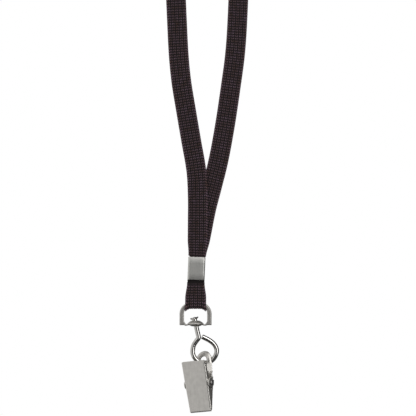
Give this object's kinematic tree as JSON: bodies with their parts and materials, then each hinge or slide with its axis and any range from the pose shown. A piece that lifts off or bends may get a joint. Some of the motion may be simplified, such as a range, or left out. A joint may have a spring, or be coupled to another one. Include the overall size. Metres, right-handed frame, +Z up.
{
  "type": "lanyard badge holder",
  "caption": "Flat braided neck strap crimped round a D-ring, with a swivel wire eye and a spring-loaded bulldog clip that grips a badge.",
  "frame": {"origin": "the middle of what the loop hangs from: the inside of the loop's top, in the middle of the tape's width", "axes": "+Z up against the hang, -Y is the front where the thumb lever and the crimp's clean face are, +X to the viewer's right"},
  "size_m": [0.0466, 0.0159, 0.4666],
  "materials": {
    "braided_tape": "soft braid, matte",
    "crimp_steel": "dull nickel plate",
    "cast_nickel": "satin nickel plate",
    "bright_nickel": "bright nickel plate",
    "clip_steel": "faintly brushed nickel plate",
    "spring_steel": "drawn spring wire"
  },
  "bodies": {
    "strap": {"strap_loop": "braided_tape", "ring_fold": "braided_tape", "crimp_sleeve": "crimp_steel"},
    "ring": {"d_ring": "cast_nickel"},
    "swivel": {"swivel_eye": "bright_nickel"},
    "clip": {"rear_jaw": "clip_steel", "pivot_pin": "spring_steel", "clip_spring": "spring_steel"},
    "lever": {"front_jaw": "clip_steel"}
  },
  "joints": [
    {"name": "d_ring_swing", "type": "hinge", "parent": "strap", "child": "ring", "pos_m": [-0.00595, 0, -0.4106], "axis": [1, 0, 0], "range_deg": [-75, 75], "deforming": ["ring_fold"]},
    {"name": "swivel_turn", "type": "hinge", "parent": "ring", "child": "swivel", "pos_m": [-0.00595, 0, -0.4205], "axis": [0.22, 0.0468, -0.9744], "continuous": true},
    {"name": "clip_swing", "type": "hinge", "parent": "swivel", "child": "clip", "pos_m": [-0.00132, 0.00098, -0.43458], "axis": [-0.2079, 0.9781, 0], "range_deg": [-55, 55]},
    {"name": "jaw_open", "type": "hinge", "parent": "clip", "child": "lever", "pos_m": [-0.00398, -0.004, -0.4509], "axis": [-0.7909, 0.6018, -0.1111], "range_deg": [0, 18.5], "stiffness_Nm_per_rad": 0.15, "springref_deg": -17.19, "deforming": ["clip_spring"]}
  ]
}
